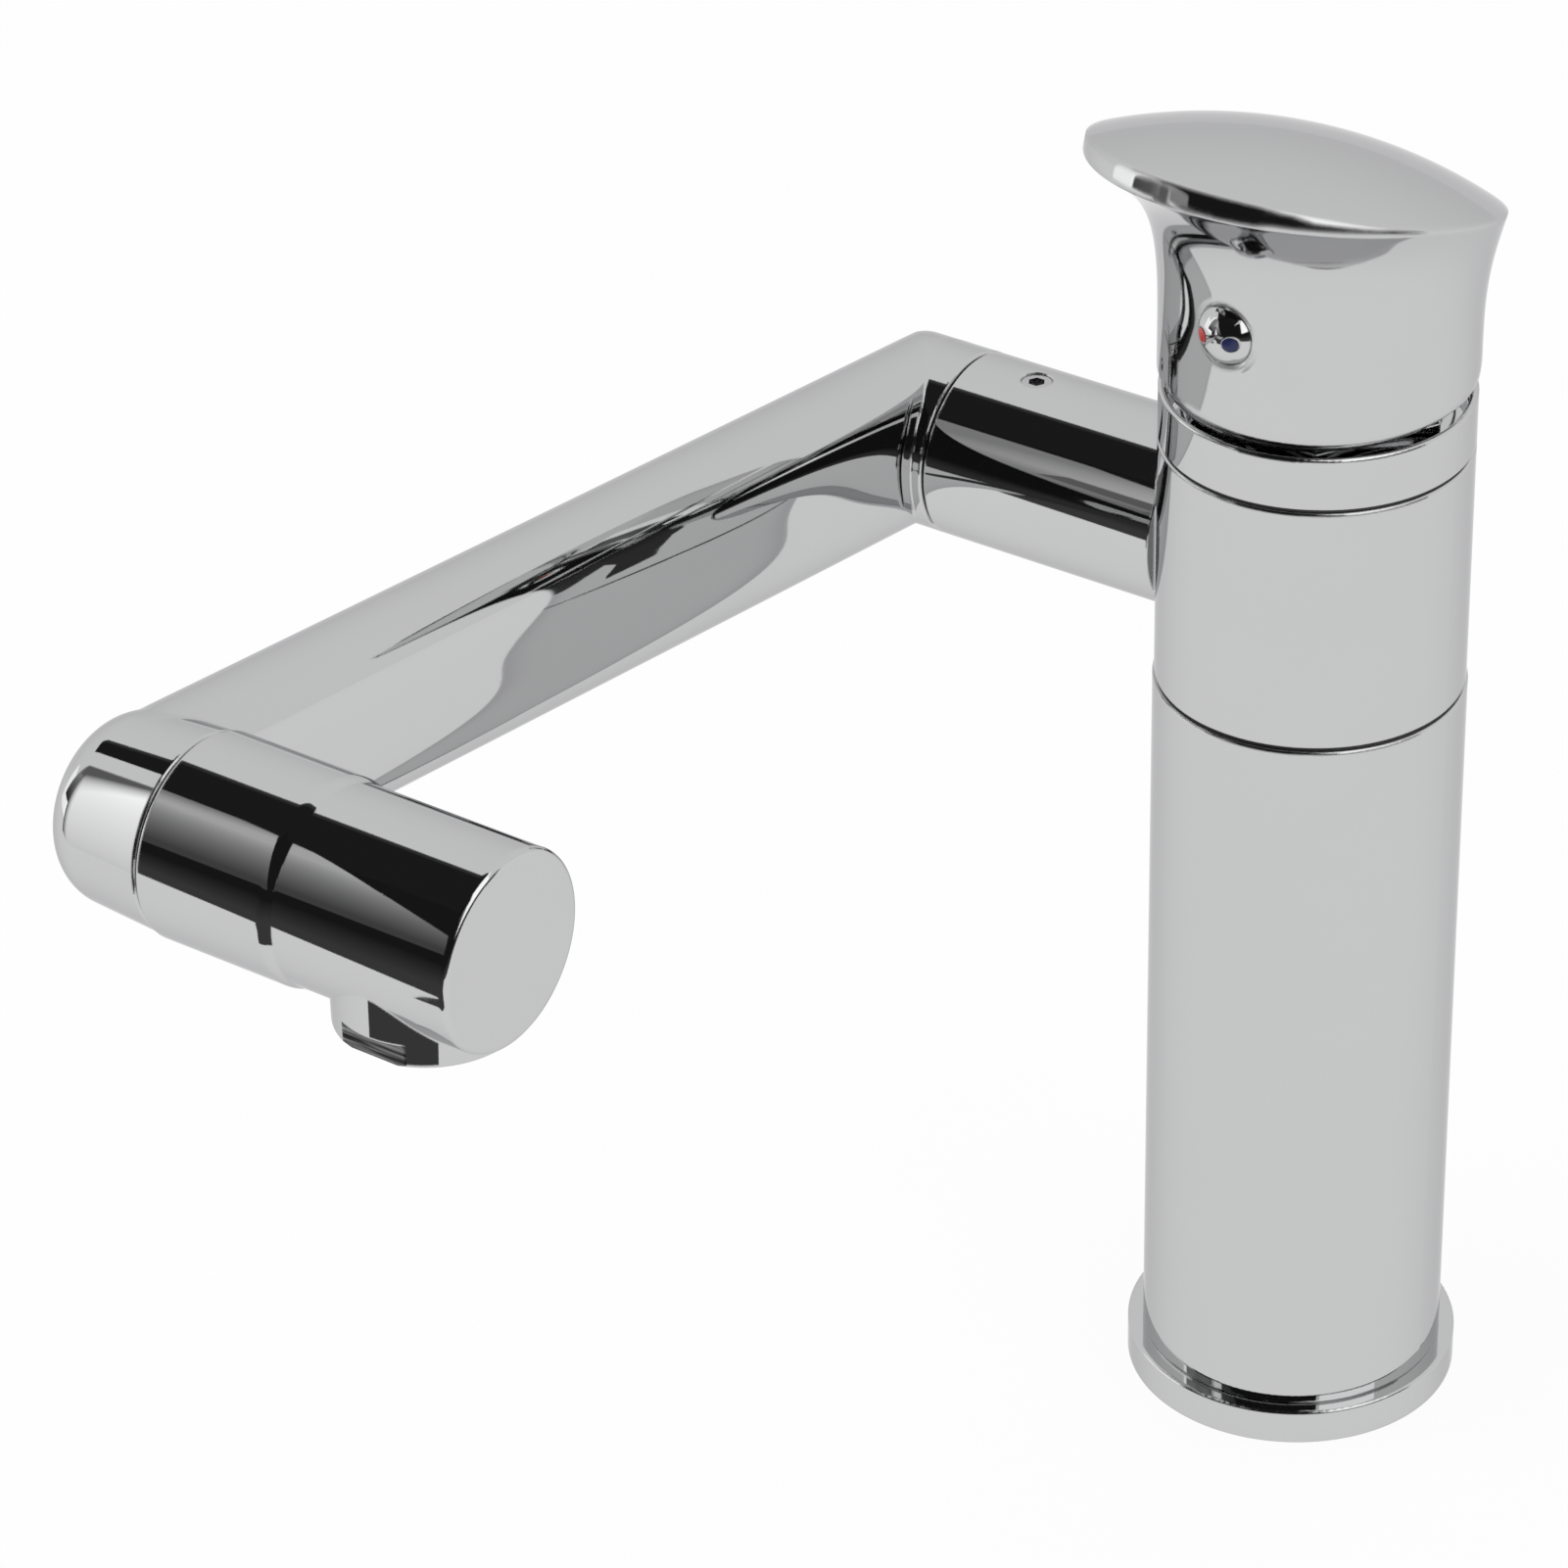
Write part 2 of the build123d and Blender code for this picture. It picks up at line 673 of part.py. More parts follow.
with BuildPart() as spout_arm:
    loft([far_section, arm_section(arm_end_plane, arm_near_half_height, 0)], ruled=True)
    turn([
        (0, 0),
        (stub_radius, 0),
        (stub_radius, far_boss_face - edge_chamfer),
        (stub_radius - edge_chamfer, far_boss_face),
        (0, far_boss_face),
    ], stub_swivel)
    add(far_corner.part)
    with BuildSketch(head_swivel) as elbow_outline:
        with BuildLine():
            Polyline(
                (0, -elbow_end_depth),
                (elbow_end_radius, -elbow_end_depth),
                (elbow_radius, arm_boss_length - edge_chamfer),
                (elbow_radius - edge_chamfer, arm_boss_length),
                (0, arm_boss_length),
                close=True,
            )
        make_face()
        elbow_end = elbow_outline.vertices().group_by(Axis.Y)[0]
        fillet(elbow_end.sort_by(Axis.X)[-1], elbow_corner_round)
    revolve(elbow_outline.sketch, axis=Axis(head_swivel.origin, head_swivel.y_dir))
    waterway = [arm_section(arm_plane, arm_far_half_height, arm_wall)]
    waterway.append(arm_section(arm_end_plane, arm_near_half_height, arm_wall))
    loft(waterway, ruled=True, mode=Mode.SUBTRACT)
    for swivel, boss_face in ((stub_swivel, far_boss_face), (head_swivel, arm_boss_length)):
        turn_ring(0, spigot_root_radius + thread_gap, 0, boss_face, swivel, Mode.SUBTRACT)


# Outlet head, with its nozzle turned on a plane whose heights are measured upwards from the nozzle's rim
head_bore_end = head_length - head_end_wall
nozzle_plane = Plane(origin=nozzle_centre, x_dir=(1, 0, 0), z_dir=(0, 0, -1))
aerator_plane = Plane(
    origin=nozzle_centre - Vector(0, 0, nozzle_drop), x_dir=(1, 0, 0), z_dir=(0, -1, 0)
)
with BuildPart() as outlet_head:
    step_start = head_face + head_collar_length
    with BuildSketch(head_swivel) as head_outline:
        with BuildLine():
            Polyline(
                (0, head_face),
                (stub_radius - edge_chamfer, head_face),
                (stub_radius, head_face + edge_chamfer),
                (stub_radius, step_start),
                (head_radius, step_start + head_step_length),
                (head_radius, head_length),
                (0, head_length),
                close=True,
            )
        make_face()
        step_ends = head_outline.vertices().sort_by(Axis.Y)[3:5]
        fillet(step_ends[0], head_step_round)
        fillet(step_ends[1], head_step_fillet)
        end_corner = head_outline.vertices().group_by(Axis.Y)[-1].sort_by(Axis.X)[-1]
        fillet(end_corner, head_edge_round)
    revolve(head_outline.sketch, axis=Axis(head_swivel.origin, head_swivel.y_dir))
    turn([
        (0, 0),
        (nozzle_radius - nozzle_edge, 0),
        (nozzle_radius, nozzle_edge),
        (nozzle_radius, nozzle_drop),
        (0, nozzle_drop),
    ], aerator_plane)
    flat_plane = nozzle_plane.offset(nozzle_drop - nozzle_flat_height)
    with BuildSketch(flat_plane) as spanner_flats:
        for side in (-1, 1):
            with Locations((0, side * (nozzle_flats / 2 + nozzle_radius / 2))):
                Rectangle(3 * nozzle_radius, nozzle_radius)
    extrude(spanner_flats.sketch, amount=nozzle_flat_height + 1, mode=Mode.SUBTRACT)
    turn_ring(0, head_bore_radius, head_face, head_bore_end, head_swivel, Mode.SUBTRACT)
    turn_ring(0, swivel_bore_radius, head_face, head_face + swivel_bore_depth, head_swivel, Mode.SUBTRACT)
    turn_ring(0, bush_outer + press_gap, head_face, head_face + bush_length, head_swivel, Mode.SUBTRACT)
    drill(nozzle_plane, [(0, 0)], aerator_bore, nozzle_drop - aerator_depth, nozzle_drop + 1)
    outlet_screw_plane = swivel_screw_plane(head_swivel, head_face, False)
    drill_screw_hole(outlet_screw_plane, stub_radius)

with BuildPart() as outlet_set_screw:
    set_screw(outlet_screw_plane, stub_radius)

with BuildPart() as outlet_bush:
    swivel_bush(head_swivel, head_face)

with BuildPart() as outlet_spigot:
    swivel_spigot(head_swivel, head_face)

with BuildPart() as outlet_spigot_seals:
    for seal_distance in swivel_seal_places:
        turn_seal(swivel_bore_radius - seal_squeeze, 1.5, head_face + seal_distance, head_swivel)


# Aerator, turned about the nozzle's axis
aerator_top = aerator_recess + aerator_height
screen_seat = aerator_top - aerator_rim
with BuildPart() as aerator_body:
    turn_ring(0, aerator_radius, aerator_recess, aerator_top, aerator_plane)
    turn_ring(
        0, screen_radius + press_gap, aerator_recess + aerator_rim, aerator_top, aerator_plane, Mode.SUBTRACT
    )
    with BuildSketch(nozzle_plane.offset(nozzle_drop - aerator_recess - aerator_rim)) as outlet_holes:
        with HexLocations(screen_hole_pitch * 0.62, 7, 7):
            Circle(screen_hole * 0.75)
    extrude(outlet_holes.sketch, amount=aerator_rim, mode=Mode.SUBTRACT)

with BuildPart() as aerator_screens:
    screen_level = aerator_recess + aerator_rim
    turn_ring(screen_radius - 0.8, screen_radius, screen_level, aerator_top, aerator_plane)
    for screen in range(screen_count):
        low = screen_level + screen * screen_spacing
        turn_ring(0, screen_radius, low, low + screen_thickness, aerator_plane)

with BuildPart() as aerator_seal:
    turn_ring(
        screen_radius, aerator_radius, aerator_top, aerator_top + aerator_seal_height, aerator_plane
    )


# Lever: a round foot that flares into an oblique oval plate with a low dome
rim_hinge_y = plate_centre + rim_hinge * cos(radians(plate_tilt))
rim_hinge_z = plate_height + rim_hinge * sin(radians(plate_tilt))
rim_axis_height = rim_hinge_z - rim_hinge_y * tan(radians(rim_tilt))
rim_hinge_reach = rim_hinge_y / cos(radians(rim_tilt))
rim_fold = cos(radians(plate_tilt - rim_tilt))
rim_front = (plate_half_length - rim_hinge) / rim_fold + rim_hinge_reach
rim_back = (plate_half_length + rim_hinge) / rim_fold - rim_hinge_reach


def lever_plane(forward, height, tilt):
    """Plane in the lever's frame, tilted up towards the lever's front."""
    origin = lever_front * forward + Vector(0, 0, height)
    normal = Vector(0, 0, 1) * cos(radians(tilt)) - lever_front * sin(radians(tilt))
    return Plane(origin=origin, x_dir=lever_side, z_dir=normal)


def flare_section(step):
    """Oval section of the flare, from the round foot (0) to the plate's rim (1)."""
    front = lever_radius + (rim_front - lever_radius) * step**flare_front_power
    back = lever_radius + (rim_back - lever_radius) * step**flare_back_power
    side = lever_radius + (plate_half_width - lever_radius) * step**flare_side_power
    tilt = rim_tilt * step**flare_tilt_power
    height = flare_bottom + (rim_axis_height - flare_bottom) * step
    forward = (front - back) / 2
    section_plane = lever_plane(
        forward * cos(radians(tilt)), height + forward * sin(radians(tilt)), tilt
    )
    with BuildSketch(section_plane) as section:
        Ellipse(side, (front + back) / 2)
    return section.sketch


plate_plane = lever_plane(plate_centre, plate_height, plate_tilt)
rim_plane = lever_plane(0, rim_axis_height, rim_tilt)
dome_sphere = (plate_half_width**2 + plate_dome**2) / (2 * plate_dome)

with BuildPart() as flare:
    sections = [flare_section(step / flare_sections) for step in range(1, flare_sections + 1)]
    with BuildSketch(lever_frame.offset(flare_bottom)) as foot_circle:
        Circle(lever_radius)
    loft([foot_circle.sketch] + sections)

with BuildPart() as rim_band:
    with BuildSketch(plate_plane.offset(plate_dome + 1)) as plate_oval:
        Ellipse(plate_half_width, plate_half_length)
    extrude(plate_oval.sketch, amount=-3 * plate_dome)
    split(bisect_by=rim_plane, keep=Keep.TOP)

with BuildPart() as dome:
    with Locations((0, 0, plate_dome - dome_sphere)):
        Sphere(dome_sphere)
    scale(by=(1, plate_half_length / plate_half_width, 1))

foot_plane = lever_plane(lever_foot_radius, lever_foot_level + lever_foot_gap, -lever_foot_slope)
relief_plane = lever_plane(0, lever_foot_level + lever_foot_gap, -lever_relief_slope)
spindle_top = pivot_height + spindle_height
hub_bottom = pivot_height + hub_clearance
socket_side = spindle_square + 2 * hub_socket_gap
button_sphere = (button_radius**2 + button_dome**2) / (2 * button_dome)
button_tip = button_seat + button_dome
button_back = button_seat - button_stem_length
front_plane = Plane(origin=(0, 0, index_height), x_dir=lever_side, z_dir=lever_front)

with BuildPart() as handle:
    foot_bottom = lever_foot_level + lever_foot_gap
    turn([
        (0, foot_bottom),
        (lever_foot_radius, foot_bottom),
        (lever_radius, foot_bottom + lever_foot_height),
        (lever_radius, flare_bottom),
        (0, flare_bottom),
    ])
    add(flare.part)
    add(rim_band.part)
    add(plate_plane.location * dome.part, mode=Mode.INTERSECT)
    split(bisect_by=foot_plane, keep=Keep.TOP)
    split(bisect_by=relief_plane, keep=Keep.TOP)

with BuildPart() as lever_cavity:
    turn_ring(0, lever_cavity_radius, flange_height, lever_cavity_top)
    fillet(lever_cavity.faces().sort_by(Axis.Z)[-1].edges(), lever_cavity_round)
    turn_ring(0, hub_radius, hub_bottom, lever_cavity_top + 1, mode=Mode.SUBTRACT)
    with BuildSketch(front_plane) as tunnel_circle:
        Circle(tunnel_radius)
    extrude(tunnel_circle.sketch, amount=lever_radius, mode=Mode.SUBTRACT)

with handle:
    add(lever_cavity.part, mode=Mode.SUBTRACT)
    with BuildSketch(lever_frame.offset(hub_bottom)) as spindle_socket:
        Rectangle(socket_side, socket_side)
    extrude(spindle_socket.sketch, amount=spindle_top + 0.5 - hub_bottom, mode=Mode.SUBTRACT)
    drill(front_plane, [(0, 0)], screw_hole_radius, 0, lever_radius + 1)
    drill(front_plane, [(0, 0)], button_stem_radius + press_gap, button_back - 0.3, lever_radius + 1)
    drill(front_plane, [(0, 0)], button_radius + press_gap, button_seat - press_gap, lever_radius + 1)

with BuildPart() as handle_screw:
    screw_front = spindle_square / 2 + handle_screw_length
    with BuildSketch(front_plane.offset(spindle_square / 2 + 0.02)):
        Circle(screw_radius)
    extrude(amount=handle_screw_length)
    with BuildSketch(front_plane.offset(screw_front - hex_socket_depth)):
        RegularPolygon(hex_socket_flats / 2, 6, major_radius=False)
    extrude(amount=hex_socket_depth + 1, mode=Mode.SUBTRACT)

button_centre = front_plane.offset(button_tip - button_sphere)
dot_surface = button_tip - button_sphere + sqrt(button_sphere**2 - dot_spread**2)
dot_floor = dot_surface - dot_depth
with BuildPart() as index_button:
    with Locations(button_centre):
        Sphere(button_sphere)
    split(bisect_by=front_plane.offset(button_seat), keep=Keep.TOP)
    with BuildSketch(front_plane.offset(button_back)) as stem_circle:
        Circle(button_stem_radius)
    extrude(stem_circle.sketch, amount=button_stem_length)
    drill(front_plane, [(-dot_spread, 0), (dot_spread, 0)], dot_radius, dot_floor, button_tip + 1)


def colour_mark(side):
    """Coloured disc let into the button, with a face that follows the dome."""
    with BuildPart() as mark:
        with Locations(button_centre):
            Sphere(button_sphere + dot_proud)
        with BuildSketch(front_plane.offset(dot_floor)) as dot_circle:
            with Locations((side * dot_spread, 0)):
                Circle(dot_radius)
        extrude(dot_circle.sketch, amount=button_dome, mode=Mode.INTERSECT)
    return mark


pieces = {
    "base_flange": base_flange,
    "base_gasket": base_gasket,
    "inlet_block": inlet_block,
    "hot_supply_tube": tubes["hot_supply_tube"],
    "cold_supply_tube": tubes["cold_supply_tube"],
    "tie_rod": tie_rod,
    "column_shell": column_shell,
    "valve_body": valve_body,
    "collar_seals": collar_seals,
    "lower_slide_ring": lower_slide_ring,
    "upper_slide_ring": upper_slide_ring,
    "cap_ring": cap_ring,
    "cartridge_base": cartridge_base,
    "cartridge_port_seals": cartridge_port_seals,
    "fixed_disc": fixed_disc,
    "moving_disc": moving_disc,
    "disc_carrier": disc_carrier,
    "cartridge_housing": cartridge_housing,
    "spindle_rotor": spindle_rotor,
    "spindle_pin": spindle_pin,
    "spindle": spindle,
    "cartridge_nut": cartridge_nut,
    "spout_collar": spout_collar,
    "stub_set_screw": stub_set_screw,
    "stub_bush": stub_bush,
    "arm_spigot": arm_spigot,
    "arm_spigot_seals": arm_spigot_seals,
    "spout_arm": spout_arm,
    "outlet_head": outlet_head,
    "outlet_set_screw": outlet_set_screw,
    "outlet_bush": outlet_bush,
    "outlet_spigot": outlet_spigot,
    "outlet_spigot_seals": outlet_spigot_seals,
    "aerator_body": aerator_body,
    "aerator_screens": aerator_screens,
    "aerator_seal": aerator_seal,
    "handle": handle,
    "handle_screw": handle_screw,
    "index_button": index_button,
    "hot_mark": colour_mark(-1),
    "cold_mark": colour_mark(1),
}
for piece_name, piece in pieces.items():
    save(piece.part, piece_name)
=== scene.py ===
import json
from math import atan, cos, degrees, pi, radians, sin, sqrt

import bmesh
import bpy
from mathutils import Matrix, Vector


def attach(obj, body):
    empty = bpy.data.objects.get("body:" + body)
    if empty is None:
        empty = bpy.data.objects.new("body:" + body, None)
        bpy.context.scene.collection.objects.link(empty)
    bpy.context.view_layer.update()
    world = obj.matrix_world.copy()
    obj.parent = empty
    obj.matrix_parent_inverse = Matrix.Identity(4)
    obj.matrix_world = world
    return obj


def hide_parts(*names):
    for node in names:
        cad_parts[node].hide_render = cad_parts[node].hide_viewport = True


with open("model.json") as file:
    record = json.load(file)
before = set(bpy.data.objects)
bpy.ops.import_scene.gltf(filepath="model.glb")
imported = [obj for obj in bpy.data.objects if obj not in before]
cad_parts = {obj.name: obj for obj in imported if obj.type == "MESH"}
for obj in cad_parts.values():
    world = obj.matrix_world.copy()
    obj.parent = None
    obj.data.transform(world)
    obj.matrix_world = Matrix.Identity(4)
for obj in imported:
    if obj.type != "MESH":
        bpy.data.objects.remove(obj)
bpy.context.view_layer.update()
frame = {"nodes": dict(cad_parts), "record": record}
nodes = frame["nodes"]


# Camera: set so that the object fills the square frame as in the photograph
camera_place = Vector((0.433784, -0.746749, 0.653209))
camera_right = Vector((0.81805, 0.57484, -0.01908))
camera_up = Vector((-0.29183, 0.44344, 0.84746))
camera_back = Vector((0.49562, -0.68769, 0.53051))
sensor_width = 36.0
focal_length = 143.72

camera_data = bpy.data.cameras.new("camera")
camera_data.lens = focal_length
camera_data.sensor_width = sensor_width
camera_data.sensor_height = sensor_width
camera_data.clip_start = 0.01
camera_data.clip_end = 100.0
camera = bpy.data.objects.new("camera", camera_data)
bpy.context.collection.objects.link(camera)
camera.matrix_world = Matrix.Translation(camera_place) @ Matrix(
    (camera_right, camera_up, camera_back)
).transposed().to_4x4()
bpy.context.scene.camera = camera
bpy.context.scene.view_settings.view_transform = "Standard"


# Node helpers
def new_material(name):
    """Empty node material with its output and a Principled shader."""
    material = bpy.data.materials.new(name)
    material.use_nodes = True
    tree = material.node_tree
    shader = tree.nodes["Principled BSDF"]
    return material, tree, shader


def add_node(tree, kind, **inputs):
    """Node of that kind with its named inputs set."""
    node = tree.nodes.new(kind)
    for key, value in inputs.items():
        node.inputs[key.replace("_", " ")].default_value = value
    return node


def object_noise(tree, scale, detail, roughness=0.5):
    """Noise in the object's own coordinates, which are metres."""
    place = tree.nodes.new("ShaderNodeTexCoord")
    noise = add_node(tree, "ShaderNodeTexNoise", Scale=scale, Detail=detail, Roughness=roughness)
    tree.links.new(place.outputs["Object"], noise.inputs["Vector"])
    return noise


def remap(tree, source, from_low, from_high, to_low, to_high):
    """Value of source mapped from one range to another, and clamped."""
    node = tree.nodes.new("ShaderNodeMapRange")
    node.inputs["From Min"].default_value = from_low
    node.inputs["From Max"].default_value = from_high
    node.inputs["To Min"].default_value = to_low
    node.inputs["To Max"].default_value = to_high
    tree.links.new(source, node.inputs["Value"])
    return node.outputs["Result"]


def colour_ramp(tree, source, stops):
    """Colour ramp with the given (place, colour) stops."""
    ramp = tree.nodes.new("ShaderNodeValToRGB")
    elements = ramp.color_ramp.elements
    elements[0].position, elements[0].color = stops[0][0], (*stops[0][1], 1)
    elements[1].position, elements[1].color = stops[-1][0], (*stops[-1][1], 1)
    for place, colour in stops[1:-1]:
        element = elements.new(place)
        element.color = (*colour, 1)
    tree.links.new(source, ramp.inputs["Fac"])
    return ramp.outputs["Color"]


def add_math(tree, operation, first, second):
    """Math node's result for a linked value and a number or a second linked value."""
    node = tree.nodes.new("ShaderNodeMath")
    node.operation = operation
    tree.links.new(first, node.inputs[0])
    if isinstance(second, float):
        node.inputs[1].default_value = second
    else:
        tree.links.new(second, node.inputs[1])
    return node.outputs["Value"]


def bump(tree, height, strength, distance):
    """Bump node fed by a height, whose normal is returned."""
    node = add_node(tree, "ShaderNodeBump", Strength=strength, Distance=distance)
    tree.links.new(height, node.inputs["Height"])
    return node.outputs["Normal"]


# Materials
def chrome_material(name, edge_round):
    """Mirror bright chrome with faint polishing waves, wipe marks and pinpoint specks."""
    material, tree, shader = new_material(name)
    shader.inputs["Metallic"].default_value = 1.0
    shader.inputs["Specular Tint"].default_value = (0.72, 0.72, 0.73, 1)
    film = object_noise(tree, 26.0, 5.0, 0.6)
    shade = colour_ramp(tree, film.outputs["Fac"], [
        (0.3, tuple(channel * 0.985 for channel in chrome_tone)),
        (0.7, chrome_tone),
    ])
    tree.links.new(shade, shader.inputs["Base Color"])
    wipe = object_noise(tree, 90.0, 6.0, 0.62)
    tree.links.new(
        remap(tree, wipe.outputs["Fac"], 0.35, 0.72, 0.012, 0.05),
        shader.inputs["Roughness"],
    )
    waves = object_noise(tree, 30.0, 2.0, 0.4)
    specks = object_noise(tree, 1400.0, 1.0, 0.3)
    speck_height = remap(tree, specks.outputs["Fac"], 0.74, 0.8, 0.0, 0.02)
    height = add_math(tree, "ADD", waves.outputs["Fac"], speck_height)
    rounded = add_node(tree, "ShaderNodeBevel", Radius=edge_round)
    rounded.samples = 8
    relief = add_node(tree, "ShaderNodeBump", Strength=1.0, Distance=0.00002)
    tree.links.new(rounded.outputs["Normal"], relief.inputs["Normal"])
    tree.links.new(height, relief.inputs["Height"])
    tree.links.new(relief.outputs["Normal"], shader.inputs["Normal"])
    return material


def add_flats_painted_dark(material, centre_y, flat_reach, flat_top):
    """Painted dark reflection in streaks on the flats, which also get a rougher finish: past a reach
    from the centre, below a height.
    """
    tree = material.node_tree
    shader = tree.nodes["Principled BSDF"]
    place = tree.nodes.new("ShaderNodeTexCoord")
    parts = tree.nodes.new("ShaderNodeSeparateXYZ")
    tree.links.new(place.outputs["Object"], parts.inputs["Vector"])
    aside = add_math(tree, "SUBTRACT", parts.outputs["Y"], centre_y)
    reach = add_math(tree, "ABSOLUTE", aside, 0.0)
    outside = add_math(tree, "GREATER_THAN", reach, flat_reach)
    below = add_math(tree, "LESS_THAN", parts.outputs["Z"], flat_top)
    mask = add_math(tree, "MULTIPLY", outside, below)
    stretch = tree.nodes.new("ShaderNodeMapping")
    stretch.inputs["Scale"].default_value = (60.0, 60.0, 1500.0)
    stretch.inputs["Rotation"].default_value = (0.0, 0.06, 0.0)
    tree.links.new(place.outputs["Object"], stretch.inputs["Vector"])
    flat_streaks = add_node(tree, "ShaderNodeTexNoise", Scale=1.0, Detail=3.0, Roughness=0.6)
    tree.links.new(stretch.outputs["Vector"], flat_streaks.inputs["Vector"])
    # Painted dark reflection: near-black streaks in the flats' base colour stand in for the dark room
    # that the chrome mirrors there
    painted_reflection_tone = colour_ramp(tree, flat_streaks.outputs["Fac"], [
        (0.42, (0.03, 0.03, 0.032)),
        (0.66, (0.4, 0.4, 0.4)),
    ])
    for name, data_type, kind in (("Base Color", "RGBA", "_Color"), ("Roughness", "FLOAT", "_Float")):
        polished = shader.inputs[name].links[0].from_socket
        mix = tree.nodes.new("ShaderNodeMix")
        mix.data_type = data_type
        sockets = {socket.identifier: socket for socket in mix.inputs}
        results = {socket.identifier: socket for socket in mix.outputs}
        tree.links.new(mask, sockets["Factor_Float"])
        tree.links.new(polished, sockets["A" + kind])
        if name == "Base Color":
            tree.links.new(painted_reflection_tone, sockets["B" + kind])
        else:
            sockets["B" + kind].default_value = 0.3
        tree.links.new(results["Result" + kind], shader.inputs[name])


def metal_material(name, dark, light, roughness_low, roughness_high, grain):
    """Machined metal: brushed streaks in its colour, roughness and relief."""
    material, tree, shader = new_material(name)
    shader.inputs["Metallic"].default_value = 1.0
    tint = object_noise(tree, 60.0, 6.0)
    shade = colour_ramp(tree, tint.outputs["Fac"], [(0.3, dark), (0.7, light)])
    tree.links.new(shade, shader.inputs["Base Color"])
    streaks = object_noise(tree, grain, 4.0, 0.7)
    roughness = remap(tree, streaks.outputs["Fac"], 0.3, 0.7, roughness_low, roughness_high)
    tree.links.new(roughness, shader.inputs["Roughness"])
    tree.links.new(bump(tree, streaks.outputs["Fac"], 0.5, 0.00004), shader.inputs["Normal"])
    return material


def plastic_material(name, dark, light, roughness_low, roughness_high, grain, relief):
    """Moulded plastic, rubber or ceramic with a fine surface grain."""
    material, tree, shader = new_material(name)
    tint = object_noise(tree, 45.0, 4.0)
    shade = colour_ramp(tree, tint.outputs["Fac"], [(0.3, dark), (0.7, light)])
    tree.links.new(shade, shader.inputs["Base Color"])
    surface = object_noise(tree, grain, 5.0, 0.6)
    roughness = remap(tree, surface.outputs["Fac"], 0.3, 0.7, roughness_low, roughness_high)
    tree.links.new(roughness, shader.inputs["Roughness"])
    tree.links.new(bump(tree, surface.outputs["Fac"], 0.6, relief), shader.inputs["Normal"])
    return material


chrome_tone = (0.628, 0.63, 0.633)
seam_round = 0.0006
lever_round = 0.0018
materials = {
    "chrome": chrome_material("polished_chrome", seam_round),
    "brass": metal_material("machined_brass", (0.66, 0.48, 0.22), (0.8, 0.62, 0.32), 0.22, 0.36, 700.0),
    "copper": metal_material("drawn_copper", (0.66, 0.34, 0.22), (0.82, 0.48, 0.34), 0.25, 0.4, 600.0),
    "steel": metal_material("turned_steel", (0.5, 0.5, 0.51), (0.64, 0.64, 0.65), 0.18, 0.32, 900.0),
    "rubber": plastic_material(
        "black_rubber", (0.018, 0.018, 0.018), (0.035, 0.035, 0.035), 0.55, 0.75, 900.0, 0.00003
    ),
    "slide_plastic": plastic_material(
        "black_slide_plastic", (0.02, 0.02, 0.021), (0.04, 0.04, 0.042), 0.4, 0.55, 700.0, 0.00002
    ),
    "cartridge_plastic": plastic_material(
        "pale_plastic", (0.68, 0.67, 0.62), (0.78, 0.77, 0.73), 0.35, 0.5, 500.0, 0.00003
    ),
    "ceramic": plastic_material(
        "white_ceramic", (0.86, 0.85, 0.83), (0.93, 0.92, 0.9), 0.08, 0.16, 400.0, 0.00001
    ),
    "aerator_plastic": plastic_material(
        "grey_plastic", (0.6, 0.6, 0.6), (0.72, 0.72, 0.72), 0.35, 0.5, 500.0, 0.00003
    ),
    "red": plastic_material(
        "red_enamel", (0.36, 0.015, 0.012), (0.48, 0.03, 0.025), 0.2, 0.3, 600.0, 0.00001
    ),
    "blue": plastic_material(
        "blue_enamel", (0.006, 0.01, 0.055), (0.012, 0.02, 0.1), 0.2, 0.3, 600.0, 0.00001
    ),
}

# Pieces whose finish differs from their slot: the lever's soft rim, the nozzle's flats with their
# painted dark reflection, the plated neck
nozzle_centre_y = -0.19399
nozzle_flat_reach = 0.01285
nozzle_flat_top = 0.17238
own_finish = {
    "handle": chrome_material("rounded_chrome", lever_round),
    "outlet_head": chrome_material("outlet_chrome_painted_dark_flats", seam_round),
    "valve_body": materials["chrome"],
}
# The nozzle's flats get a painted dark reflection in their base colour
add_flats_painted_dark(own_finish["outlet_head"], nozzle_centre_y, nozzle_flat_reach, nozzle_flat_top)

slot_of = {subpart["node"]: subpart["material_slot"] for subpart in frame["record"]["subparts"]}
for node_name, node in nodes.items():
    material = own_finish.get(node_name, materials[slot_of[node_name]])
    if not node.material_slots:
        node.data.materials.append(material)
    for material_slot in node.material_slots:
        material_slot.material = material


# Arm: its solid's shape with a rounded far corner, in a finer mesh whose reflections run smoothly
far_elbow = Vector((-0.0753, 0, 0.15672))
arm_direction = Vector((0, -cos(radians(8)), sin(radians(8))))
arm_upward = Vector((0, sin(radians(8)), cos(radians(8))))
arm_length = 0.1959
near_elbow = far_elbow + arm_direction * arm_length
arm_half_width = 0.0086
arm_far_half_height = 0.01544
arm_near_half_height = 0.0145
across_power = 2.1
upward_power = 3.65
stub_radius = 0.01545
edge_chamfer = 0.0003
bore_radius = 0.00905
axis_radius = 0.0001
corner_round_most = 0.0028
corner_round_share = 0.6


def quarter_turn(half_width, half_height, steps):
    """First quarter of the arm's oval section, as (across, upward) points from its side to its top."""
    points = []
    for step in range(steps + 1):
        rise = sin(pi / 2 * step / steps)
        across = (1 - rise ** upward_power) ** (1 / across_power)
        points.append((half_width * across, half_height * rise))
    return points


def oval_section(half_height):
    """Whole oval section of the arm, as (across, upward) points."""
    quarter = quarter_turn(arm_half_width, half_height, 36)
    half = quarter + [(-across, upward) for across, upward in quarter[-2::-1]]
    return half + [(across, -upward) for across, upward in half[-2:0:-1]]


